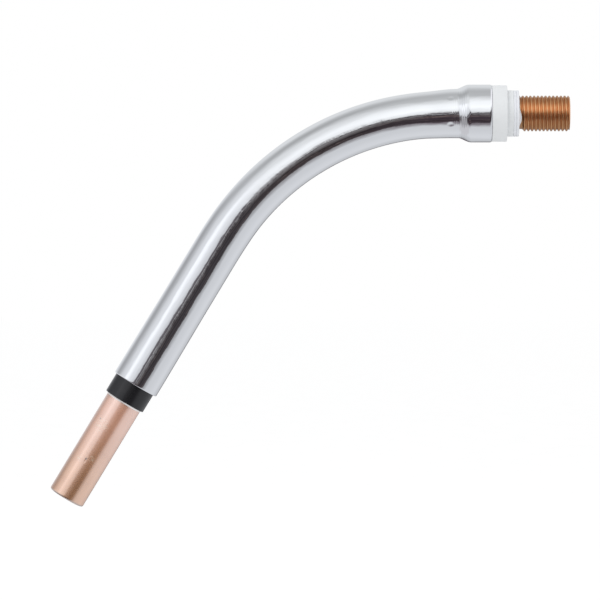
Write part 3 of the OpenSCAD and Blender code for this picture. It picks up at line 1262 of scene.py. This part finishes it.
@dataclass
class Stud:
    """Copper stud with a right-hand M14 x 1.5 thread, a liner's seat and a socket for the tube.

    The thread runs out into a deeper relief next to the washers, over the angles from run_start to
    run_stop towards the front, on the stretch run_length before the washers. The relief next to
    them ends at relief_end and rises to the crest over relief_rise.
    """

    sizes: NeckSizes
    shank_radius: float
    socket_radius: float
    socket_depth: float
    bore_radius: float
    countersink: float
    thread: Thread
    end_radius: float = 6.44 * MM
    liner_seat_depth: float = 18.0 * MM
    seat_wall: float = 1.3 * MM
    relief: float = 0.85 * MM
    relief_end: float = -0.1 * MM
    relief_rise: float = 0.2 * MM
    run_start: float = math.radians(78.0)
    run_full: float = math.radians(102.0)
    run_stop: float = math.radians(300.0)
    run_length: float = 1.55 * MM
    run_lead: float = 0.3 * MM
    run_deeper: float = 0.20 * MM
    rows_per_pitch: float = 16.0
    row: float = 2.5 * MM
    columns: int = 216

    def build(self) -> bpy.types.Object:
        """Builds the stud.

        The outside is the crest cylinder less the groove, groove = depth (1 - height), and the end
        is cut by a cone of 45 degrees.

        Returns:
            The object.
        """
        sizes, thread, radius = self.sizes, self.thread, self.sizes.stud_radius
        seat = sizes.stud_end + self.liner_seat_depth
        socket = sizes.stud_start - self.socket_depth
        threaded_radius = sizes.liner_seat_radius + self.seat_wall
        relief_radius = radius - self.relief
        rise_end = self.relief_end - self.relief_rise
        corners = [
            Corner(sizes.stud_start, self.shank_radius, 2.0 * FINE_CUT),
            Corner(sizes.hub_face, self.shank_radius, FINE_CUT / 2.0),
            Corner(sizes.hub_face, relief_radius),
            Corner(self.relief_end, relief_radius),
            Corner(rise_end, radius),
            Corner(sizes.stud_end + radius - self.end_radius, radius),
            Corner(sizes.stud_end, self.end_radius, 0.8 * FINE_CUT),
            Corner(sizes.stud_end, sizes.liner_seat_radius + self.countersink, FINE_CUT),
            Corner(sizes.stud_end + self.countersink, sizes.liner_seat_radius, FINE_CUT),
            Corner(seat, sizes.liner_seat_radius),
            Corner(seat, self.bore_radius, FINE_CUT),
            Corner(socket, self.bore_radius),
            Corner(socket, self.socket_radius),
            Corner(sizes.stud_start, self.socket_radius, FINE_CUT),
        ]

        def threaded(s: Array, r: Array) -> Array:
            """Says which points lie on the thread or its relief."""
            return (s < -rise_end) & (r > threaded_radius)

        def spacing(s: Array, r: Array) -> Array:
            """Rows by the pitch on the thread, and wide elsewhere."""
            return np.where(threaded(s, r), thread.pitch / self.rows_per_pitch, self.row)

        ring = Ring.turned(corners, spacing, self.columns)
        groove = thread.depth * (1.0 - thread.height(ring.s, ring.phi))
        run_out = ease((ring.phi - self.run_start) / (self.run_full - self.run_start))
        run_out = run_out * (ring.phi < self.run_stop) * ease((ring.s + self.run_length) / self.run_lead)
        groove = groove + (thread.depth + self.run_deeper - groove) * run_out
        ring.r = np.where(threaded(ring.s, ring.r), np.minimum(ring.r, radius - groove), ring.r)
        return ring_object("threaded_stud", ring, sizes.line)


@dataclass
class Nose:
    """Copper nose with a small collar at the black bush, a tapped tip and a socket for the tube."""

    sizes: NeckSizes
    shank_radius: float
    socket_radius: float
    socket_depth: float
    bore_radius: float
    countersink: float
    thread: Thread
    thread_length: float = 12.5 * MM
    collar_height: float = 0.30 * MM
    collar_length: float = 0.50 * MM
    tip_cut: float = 0.9 * MM
    rows_per_pitch: float = 12.0
    row: float = 0.8 * MM
    columns: int = 176

    def build(self) -> bpy.types.Object:
        """Builds the nose.

        The inside thread is cut outwards from the minor radius by depth (1 - height), and fades in
        over one and a half turns from the drilled hole's end and out at the tip.

        Returns:
            The object.
        """
        sizes, thread, tip = self.sizes, self.thread, self.sizes.nose_tip
        start, minor = tip - self.thread_length, sizes.nose_thread_minor
        socket = sizes.nose_start + self.socket_depth
        corners = [
            Corner(sizes.nose_start, self.shank_radius, 2.0 * FINE_CUT),
            Corner(sizes.bush_end, self.shank_radius, 0.3 * FINE_CUT),
            Corner(sizes.bush_end, sizes.nose_radius + self.collar_height, 0.4 * FINE_CUT),
            Corner(sizes.bush_end + self.collar_length, sizes.nose_radius, 1.2 * FINE_CUT),
            Corner(tip, sizes.nose_radius, self.tip_cut),
            Corner(tip, minor + self.countersink, FINE_CUT),
            Corner(tip - self.countersink, minor, FINE_CUT),
            Corner(start, minor),
            Corner(start, self.bore_radius, FINE_CUT),
            Corner(socket, self.bore_radius),
            Corner(socket, self.socket_radius),
            Corner(sizes.nose_start, self.socket_radius, FINE_CUT),
        ]

        def spacing(s: Array, r: Array) -> Array:
            """Rows by the pitch on the thread inside, and wide elsewhere."""
            threaded = (s > start) & (r < minor + 0.5 * MM)
            return np.where(threaded, thread.pitch / self.rows_per_pitch, self.row)

        ring = Ring.turned(corners, spacing, self.columns)
        s, outline = ring.s, ring.r
        inside = (outline < minor + self.countersink / 2.0) & (s > start) & (s < tip - FINE_CUT)
        fade = ease((s - start) / (1.5 * thread.pitch)) * ease((tip - 3.0 * FINE_CUT - s) / (0.5 * MM))
        cut = thread.depth * (1.0 - thread.height(s, ring.phi)) * fade
        outside = outline > sizes.nose_radius - 0.1 * FINE_CUT
        ring.r = np.where(inside, outline + cut, outline) - self.nicks(s, ring.phi) * outside
        return ring_object("copper_nose", ring, sizes.line)

    def nicks(self, s: Array, phi: Array) -> Array:
        """Gives the depth of the small dents that handling left, each a round bump turned in.

        Args:
            s: Places, rows by columns.
            phi: Angles of the columns.

        Returns:
            Depths, rows by columns.
        """
        # Place past the bend's end, angle in degrees, radius and depth
        marks = [
            (102.2 * MM, 84.0, 0.55 * MM, 0.22 * MM),
            (84.8 * MM, 76.0, 0.60 * MM, 0.05 * MM),
            (87.1 * MM, 101.0, 0.40 * MM, 0.06 * MM),
            (93.5 * MM, 118.0, 0.35 * MM, 0.04 * MM),
        ]
        total = np.zeros_like(s)
        for place, degrees, radius, depth in marks:
            across = self.sizes.nose_radius * (phi - math.radians(degrees))
            total = total + depth * bump(np.hypot(s - self.sizes.line.bend_end - place, across), radius)
        return total


@dataclass
class Conductor:
    """Copper parts: the stud, the nose connector, and the brazed tube between them."""

    sizes: NeckSizes
    shank_radius: float = 7.2 * MM
    socket_radius: float = 6.05 * MM
    socket_depth: float = 8.0 * MM
    bore_radius: float = 3.5 * MM
    countersink: float = 0.6 * MM

    def finishes(self) -> tuple[Copper, Copper, Copper, Copper]:
        """Gives the finishes of the nose, the stud, the tube and the solder."""
        satin = SatinCopper(
            "satin_copper", (1.0, 0.475, 0.285), (0.82, 0.33, 0.16), roughness=0.215, metallic=0.02,
            ior=2.55, film=1.0, film_ior=4.0, start=self.sizes.bush_end, end=self.sizes.nose_tip,
            scuffs=(
                (221.5 * MM, 2.8 * MM, 6.8 * MM, 4.2 * MM),
                (236.8 * MM, 3.2 * MM, 6.7 * MM, 2.0 * MM),
                (235.0 * MM, -0.9 * MM, 7.3 * MM, 2.2 * MM),
                (227.0 * MM, 0.2 * MM, -7.3 * MM, 3.4 * MM),
            ),
            pits=(
                (236.0 * MM, 0.9 * MM, 7.3 * MM, 0.55 * MM),
                (219.6 * MM, 4.3 * MM, 6.0 * MM, 0.45 * MM),
            ),
        )
        machined = ThreadCopper(
            "machined_copper", (0.87, 0.475, 0.235), (0.62, 0.30, 0.15), roughness=0.33, uneven=0.05,
            tarnish_share=0.35, line_depth=0.0004 * MM, scratch_depth=0.0015 * MM,
        )
        drawn = Copper("drawn_copper", (0.86, 0.55, 0.42), (0.62, 0.34, 0.24), Place.OBJECT)
        solder = Copper(
            "hard_solder", (0.78, 0.70, 0.55), (0.50, 0.42, 0.32), Place.OBJECT, roughness=0.4
        )
        return satin, machined, drawn, solder

    def make(self, effects: SharedEffects) -> None:
        """Builds and dresses the copper parts.

        Args:
            effects: The shared effects.
        """
        sizes = self.sizes
        ends = (self.shank_radius, self.socket_radius, self.socket_depth, self.bore_radius, self.countersink)
        nose = Nose(sizes, *ends, Thread(pitch=1.0 * MM, phase=sizes.nose_tip))
        stud = Stud(sizes, *ends, Thread(pitch=1.5 * MM, phase=-0.05 * MM, crest=0.34, depth_share=0.45))
        satin, machined, drawn, brazed = (finish.material(effects) for finish in self.finishes())
        fit(nose.build(), "nose_connector", satin)
        fit(stud.build(), "rear_stud", machined)
        dress("conductor_tube", drawn)
        dress("nose_braze_ring", brazed)
        dress("rear_braze_ring", brazed)


@dataclass
class Insulation:
    """What keeps the jacket off the copper: sleeve, two bushes and two seal washers."""

    sizes: NeckSizes
    stakes: Stakes
    bore_radius: float = 7.25 * MM
    barrel_radius: float = 8.25 * MM
    spigot_radius: float = 10.4 * MM
    spigot_end: float = 19.9 * MM
    hub_length: float = 2.5 * MM
    pressed_radius: float = 9.15 * MM
    washer_bore: float = 7.05 * MM
    washer_cut: float = 0.32 * MM
    lip_height: float = 1.0 * MM
    lip_width: float = 1.1 * MM
    lip_middle: float = math.radians(108.0)
    lip_reach: float = math.radians(40.0)
    columns: int = 192

    def black_bush(self) -> bpy.types.Object:
        """Builds the black bush between the nose and the jacket."""
        sizes = self.sizes
        corners = [
            Corner(sizes.bush_start, self.bore_radius),
            Corner(sizes.bush_start, self.barrel_radius, FINE_CUT),
            Corner(sizes.jacket_front, self.barrel_radius),
            Corner(sizes.jacket_front, sizes.bush_radius, FINE_CUT / 2.0),
            Corner(sizes.bush_end, sizes.bush_radius, 2.8 * FINE_CUT),
            Corner(sizes.bush_end, self.bore_radius, FINE_CUT),
        ]
        ring = Ring.turned(corners, 0.8 * MM, self.columns)
        return ring_object("black_nose_bush", ring, sizes.line)

    def white_bush(self) -> bpy.types.Object:
        """Builds the white bush: barrel, spigot, flange and hub, with pockets for the stakes."""
        sizes = self.sizes
        flange_face = sizes.hub_face + self.hub_length
        corners = [
            Corner(sizes.line.bend_start, self.bore_radius),
            Corner(sizes.line.bend_start, self.barrel_radius, FINE_CUT),
            Corner(self.spigot_end, self.barrel_radius),
            Corner(self.spigot_end, self.spigot_radius, FINE_CUT),
            Corner(sizes.bell_rim, self.spigot_radius),
            Corner(sizes.bell_rim, sizes.flange_radius, 2.0 * FINE_CUT),
            Corner(flange_face, sizes.flange_radius, 3.5 * FINE_CUT),
            Corner(flange_face, sizes.hub_radius, 1.5 * FINE_CUT),
            Corner(sizes.hub_face, sizes.hub_radius, 2.0 * FINE_CUT),
            Corner(sizes.hub_face, self.bore_radius),
        ]
        ring = Ring.turned(corners, 0.5 * MM, self.columns)
        pressed = self.stakes.depth_at(ring.s, ring.phi, self.pressed_radius)
        barrel = (ring.s > self.spigot_end) & (ring.r > self.barrel_radius - 0.1 * FINE_CUT)
        ring.r = np.where(barrel, ring.r - pressed, ring.r)
        return ring_object("white_flanged_bush", ring, sizes.line)

    def washer(self, name: str, outer_face: float, thickness: float, lip: float) -> bpy.types.Object:
        """Builds one seal washer, whose lip round the stud can stand out on one side.

        The outer face is moved out by lip times (1 - (r - bore) / width)^2 and times a bump over
        the angle, so that it stands out most a little below the front.

        Args:
            name: The object's name.
            outer_face: Place of the face towards the stud's end.
            thickness: The washer's thickness.
            lip: How far the lip stands out.

        Returns:
            The object.
        """
        sizes = self.sizes
        inner_face = outer_face + thickness
        corners = [
            Corner(inner_face, self.washer_bore, FINE_CUT),
            Corner(inner_face, sizes.hub_radius, self.washer_cut),
            Corner(outer_face, sizes.hub_radius, self.washer_cut),
            Corner(outer_face, self.washer_bore, 1.2 * FINE_CUT),
        ]
        ring = Ring.turned(corners, 0.15 * MM, self.columns)
        across = np.clip(1.0 - (ring.r - self.washer_bore) / self.lip_width, 0.0, 1.0) ** 2
        near_face = ease((inner_face - ring.s) / thickness)
        turn = turn_from(ring.phi, self.lip_middle)
        ring.s = ring.s - lip * across * near_face * bump(turn, self.lip_reach)
        return ring_object(name, ring, sizes.line)

    def make(self, effects: SharedEffects) -> None:
        """Builds and dresses the insulating parts.

        Args:
            effects: The shared effects.
        """
        thickness = self.sizes.hub_face / 2.0
        black = Plastic(
            "black_bush", (0.012, 0.012, 0.014), (0.035, 0.030, 0.030), (0.09, 0.09, 0.09), roughness=0.22
        )
        white = Plastic(
            "white_nylon", (0.86, 0.88, 0.895), (0.74, 0.75, 0.76), (0.92, 0.92, 0.93), roughness=0.45,
            glow=0.1, grain_depth=0.001 * MM,
        )
        seal = Plastic(
            "seal_white", (0.88, 0.90, 0.95), (0.78, 0.80, 0.84), (0.96, 0.97, 1.0), roughness=0.22, glow=0.25
        ).material(effects)
        fit(self.black_bush(), "nose_insulator", black.material(effects))
        fit(self.white_bush(), "rear_insulator", white.material(effects))
        inner = self.washer("seal_washer_inner", thickness, thickness, 0.0)
        outer = self.washer("seal_washer_outer", 0.0, thickness, self.lip_height)
        fit(inner, "inner_seal_washer", seal)
        fit(outer, "outer_seal_washer", seal)
        dress("insulating_sleeve", CoatedSleeve().material(effects))


# ---------------------------------------------------------------------------------------------
# Studio
# ---------------------------------------------------------------------------------------------

Levels = Sequence[tuple[float, float]]


@dataclass(frozen=True)
class Wall:
    """One side of the light tent: its brightness by the angle above the camera, and its tint.

    A level L becomes the colour L (1, g, b). In the dark g and b are dark_green and dark_blue. From
    the level PALE up g is PALE_GREEN, and b is PALE_BLUE below the camera and panel_blue above it,
    where the panel's light is whiter.
    """

    levels: Levels
    dark_green: float
    dark_blue: float
    panel_blue: float
    PALE = 0.35
    PALE_GREEN = 1.025
    PALE_BLUE = 1.07

    def stops(self) -> list[tuple[float, Colour]]:
        """Gives places on a colour ramp, 0 at -180 degrees and 1 at 180, and their colours."""
        placed = []
        for degrees, level in self.levels:
            t = min(level / self.PALE, 1.0)
            pale_blue = self.panel_blue if degrees > 0.0 else self.PALE_BLUE
            green = self.dark_green + (self.PALE_GREEN - self.dark_green) * t
            blue = self.dark_blue + (pale_blue - self.dark_blue) * t
            placed.append((degrees / 360.0 + 0.5, (level, level * green, level * blue)))
        return placed


# Each wall's angles in degrees and levels: behind and below on all sides, and then the lower wall,
# the dark opening, the bright panel and the upper wall on the nose's side, in the middle of the
# bend and on the stud's side
BELOW = [(-180.0, 0.60), (-175.0, 0.16), (-166.0, 0.10), (-161.0, 0.36), (-145.0, 0.53), (-112.0, 0.64)]
NOSE_SIDE = BELOW + [
    (-60.0, 0.58), (-41.0, 0.34), (-36.5, 0.05), (-7.0, 0.05), (7.0, 0.14), (11.0, 0.58), (26.0, 0.72),
    (47.0, 0.97), (62.0, 0.68), (118.0, 0.35), (158.0, 0.69),
]
MIDDLE = BELOW + [
    (-60.0, 0.58), (-41.5, 0.30), (-36.5, 0.05), (-22.0, 0.03), (2.5, 0.27), (14.0, 0.84), (28.0, 0.91),
    (60.0, 0.70), (94.0, 0.375), (130.0, 0.68),
]
STUD_SIDE = BELOW + [
    (-60.0, 0.58), (-41.0, 0.20), (-36.5, 0.05), (-6.0, 0.05), (7.0, 0.82), (20.0, 0.98), (34.0, 0.93),
    (76.0, 0.46), (98.0, 0.44), (140.0, 0.67),
]


@dataclass(frozen=True)
class LightTent:
    """Pale walls with a bright panel above the camera and the dark opening that it looks through.

    A direction d has the parts c = -d.y towards the camera, v = d . (-sin tilt, 0, cos tilt) out of
    the bend and h = d . (cos tilt, 0, sin tilt) along it towards the stud. Its angle above the
    camera is atan2(v, c). Its lean is h v / (v^2 + lean_softening), about h / v, and picks the walls.
    Past |h| = end_start it meets the tent's ends, a little sooner above. v passes from the lower to
    the upper half over the range upper, and to what lies under the opening over the range under.
    """

    tilt: float = math.radians(29.4)
    lean_softening: float = 0.0002
    lean_start: float = 0.05
    lean_full: float = 0.56
    nose_side: Wall = Wall(NOSE_SIDE, 0.87, 0.98, 1.07)
    middle: Wall = Wall(MIDDLE, 0.80, 0.86, 1.05)
    stud_side: Wall = Wall(STUD_SIDE, 0.72, 0.90, 1.045)
    opening: Levels = ((-38.0, 0.0), (-30.0, 0.716), (-4.0, 0.716), (4.0, 0.0))
    streak_colour: Colour = (0.16, 0.125, 0.12)
    end_start: float = 0.715
    end_full: float = 0.83
    end_share: float = 0.85
    sooner_above: float = 0.08
    upper: tuple[float, float] = (0.12, 0.72)
    under: tuple[float, float] = (-0.28, -0.36)
    stud_end: Colour = (0.92, 0.91, 0.96)
    nose_end: Colour = (0.90, 0.90, 0.92)
    nose_end_low: Colour = (0.37, 0.365, 0.385)
    nose_end_under: Colour = (0.53, 0.525, 0.55)

    def colour(self, nodes: Tree, direction: Socket) -> Socket:
        """Gives the tent's colour in a direction.

        Args:
            nodes: The world's tree.
            direction: The direction.

        Returns:
            The colour.
        """
        upwards = (-math.sin(self.tilt), 0.0, math.cos(self.tilt))
        sideways = (math.cos(self.tilt), 0.0, math.sin(self.tilt))
        v, h, c = (
            nodes.vector("DOT_PRODUCT", direction, axis).outputs["Value"]
            for axis in (upwards, sideways, (0.0, -1.0, 0.0))
        )
        place = nodes.math("MULTIPLY_ADD", nodes.math("ARCTAN2", v, c), 0.5 / math.pi, 0.5)
        upper = nodes.remap(v, *self.upper)
        across = nodes.math("MULTIPLY_ADD", upper, self.sooner_above, nodes.math("ABSOLUTE", h))
        beside = nodes.math("MULTIPLY", nodes.remap(across, self.end_start, self.end_full), self.end_share)
        nose_end = nodes.blend(upper, self.nose_end_low, self.nose_end)
        nose_end = nodes.blend(nodes.remap(v, *self.under), nose_end, self.nose_end_under)
        ends = nodes.blend(nodes.math("GREATER_THAN", h, 0.0), nose_end, self.stud_end)
        wall = self.streaked(nodes, self.walls(nodes, place, v, h), place, h)
        return nodes.blend(beside, wall, ends)

    def walls(self, nodes: Tree, place: Socket, v: Socket, h: Socket) -> Socket:
        """Blends the three walls by the lean, from the nose's side to the stud's.

        Args:
            nodes: The world's tree.
            place: Place on the walls' ramps, from the angle above the camera.
            v: Part of the direction out of the bend.
            h: Part of the direction along it.

        Returns:
            The walls' colour.
        """
        nose_side, middle, stud_side = (
            nodes.ramp(place, wall.stops()) for wall in (self.nose_side, self.middle, self.stud_side)
        )
        softened = nodes.math("MULTIPLY_ADD", v, v, self.lean_softening)
        lean = nodes.math("DIVIDE", nodes.math("MULTIPLY", h, v), softened)
        wall = nodes.blend(nodes.remap(lean, -self.lean_full, -self.lean_start), nose_side, middle)
        return nodes.blend(nodes.remap(lean, 0.0, self.lean_full), wall, stud_side)

    def streaked(self, nodes: Tree, wall: Socket, place: Socket, h: Socket) -> Socket:
        """Adds what shows faintly in the dark opening: darker and paler streaks along it.

        Args:
            nodes: The world's tree.
            wall: The walls' colour.
            place: Place on the walls' ramps.
            h: Part of the direction along the bend.

        Returns:
            The colour with the streaks.
        """
        stops = [(degrees / 360.0 + 0.5, (level, level, level)) for degrees, level in self.opening]
        opening = nodes.ramp(place, stops)
        fine = nodes.add("CombineXYZ", {0: place, 1: nodes.math("MULTIPLY", h, 0.05)}).outputs[0]
        dark = nodes.remap(nodes.noise(fine, 95.0, 2.0), 0.40, 0.60, 0.55, 1.05)
        pale = nodes.remap(nodes.noise(fine, 66.0, 2.0), 0.5, 0.70)
        wall = nodes.blend(opening, wall, nodes.blend(1.0, wall, dark, "MULTIPLY"))
        return nodes.blend(nodes.math("MULTIPLY", pale, opening), wall, self.streak_colour)


@dataclass
class Studio:
    """Light tent, lamp, floor and camera.

    Mirroring surfaces show the tent, others are lit by a pale room, and the camera meets white.
    """

    tent: LightTent
    picture_centre: tuple[float, float] = (-0.08624, -0.07355)
    picture_width: float = 0.23686
    distance: float = 1.35
    turned: float = math.radians(1.0)
    sensor: float = 36.0
    tent_strength: float = 1.13
    room_strength: float = 0.78
    room_low: Colour = (0.80, 0.81, 0.83)
    lamp_power: float = 3.2
    lamp_size: float = 0.8
    lamp_offset: tuple[float, float, float] = (-0.45, -0.70, 0.85)
    floor_z: float = -0.26
    floor_radii: tuple[float, float] = (1.0, 30.0)
    floor_sides: int = 64
    floor_glow: float = 0.30

    def camera(self) -> None:
        """Puts the camera almost square to the bend's plane, a little towards the stud's end."""
        data = bpy.data.cameras.new("camera")
        data.sensor_width = self.sensor
        data.lens = self.sensor * self.distance / self.picture_width
        data.clip_start, data.clip_end = 0.05, 100.0
        camera = bpy.data.objects.new("camera", data)
        x, z = self.picture_centre
        away = self.distance * np.array([math.sin(self.turned), -math.cos(self.turned)])
        camera.location = (x + away[0], away[1], z)
        camera.rotation_euler = (math.radians(90.0), 0.0, self.turned)
        bpy.context.scene.collection.objects.link(camera)
        bpy.context.scene.camera = camera

    def lamp(self) -> None:
        """Adds one large soft lamp above the camera's left, which mirrors don't show."""
        data = bpy.data.lights.new("soft_lamp", "AREA")
        data.shape, data.size = "DISK", self.lamp_size
        data.energy = self.lamp_power
        lamp = bpy.data.objects.new("soft_lamp", data)
        x, z = self.picture_centre
        offset = Vector(self.lamp_offset)
        lamp.location = Vector((x, 0.0, z)) + offset
        lamp.rotation_mode = "QUATERNION"
        lamp.rotation_quaternion = offset.to_track_quat("Z", "Y")
        lamp.visible_glossy = False
        bpy.context.scene.collection.objects.link(lamp)

    def floor(self) -> None:
        """Adds the plain pale floor: a disc inside a wide ring, both with floor_sides sides."""
        count = self.floor_sides
        angle = np.linspace(0.0, 2.0 * math.pi, count, endpoint=False)
        x, y = np.outer(self.floor_radii, np.cos(angle)), np.outer(self.floor_radii, np.sin(angle))
        points = np.stack([x, y, np.full_like(x, self.floor_z)], -1).reshape(-1, 3)
        inner = np.arange(count)
        outer = inner + count
        ring = np.stack([inner, outer, np.roll(outer, -1), np.roll(inner, -1)], -1)
        mesh = bpy.data.meshes.new("floor")
        mesh.from_pydata(points, [], [list(inner)] + ring.tolist())
        floor = bpy.data.objects.new("floor", mesh)
        bpy.context.scene.collection.objects.link(floor)
        floor.data.materials.append(self.floor_material())
        floor.visible_glossy = False

    def floor_material(self) -> bpy.types.Material:
        """Gives the floor's pale paint, which glows a little for the camera alone."""
        material = bpy.data.materials.new("pale_floor")
        material.use_nodes = True
        nodes = Tree(material.node_tree)
        shader = material.node_tree.nodes["Principled BSDF"]
        speckle = nodes.remap(nodes.noise(nodes.add("TexCoord").outputs["Object"], 40.0, 3.0), 0.3, 0.7)
        nodes.put(shader.inputs["Base Color"], nodes.blend(speckle, (0.90, 0.90, 0.90), (0.92, 0.92, 0.92)))
        nodes.put(shader.inputs["Roughness"], 0.9)
        nodes.put(shader.inputs["Specular IOR Level"], 0.0)
        seen = nodes.math("MULTIPLY", nodes.add("LightPath").outputs["Is Camera Ray"], self.floor_glow)
        glow = nodes.add("Emission", {"Strength": seen})
        total = nodes.add("AddShader", {0: shader.outputs[0], 1: glow.outputs[0]})
        nodes.put(material.node_tree.nodes["Material Output"].inputs["Surface"], total.outputs[0])
        return material

    def world(self) -> None:
        """Builds the world: the tent for mirrors, a pale room for other light, white for the camera."""
        world = bpy.data.worlds.new("light_tent")
        bpy.context.scene.world = world
        world.use_nodes = True
        world.cycles.sampling_method = "NONE"
        world.node_tree.nodes.clear()
        nodes = Tree(world.node_tree)
        direction = nodes.add("TexCoord").outputs["Generated"]
        height = nodes.remap(nodes.part(direction, "Z"), -1.0, 1.0)
        room = nodes.blend(height, self.room_low, (1.0, 1.0, 1.0))
        mirrored, plain, white = (
            nodes.add("Background", {"Color": colour, "Strength": strength}).outputs[0]
            for colour, strength in (
                (self.tent.colour(nodes, direction), self.tent_strength),
                (room, self.room_strength),
                ((1.0, 1.0, 1.0), 1.0),
            )
        )
        path = nodes.add("LightPath").outputs
        lit = nodes.add("MixShader", {0: path["Is Glossy Ray"], 1: plain, 2: mirrored}).outputs[0]
        clear = nodes.math("MAXIMUM", path["Is Camera Ray"], path["Is Transmission Ray"])
        shown = nodes.add("MixShader", {0: clear, 1: lit, 2: white}).outputs[0]
        nodes.put(nodes.add("OutputWorld").inputs["Surface"], shown)

    def make(self) -> None:
        """Builds camera, lamp, floor and world."""
        self.camera()
        self.lamp()
        self.floor()
        self.world()
        bpy.context.scene.view_settings.view_transform = "Standard"
        LOG.info("studio: camera, lamp, floor and tent")


def main() -> None:
    """Builds the studio and the sub-assemblies in order."""
    logging.basicConfig(level=logging.INFO, format="%(message)s")
    Studio(LightTent()).make()
    sizes = NeckSizes.from_frame()
    effects = SharedEffects()
    stakes = Stakes()
    for assembly in (Jacket(sizes, stakes), Conductor(sizes), Insulation(sizes, stakes)):
        assembly.make(effects)


if __name__ == "__main__":
    main()
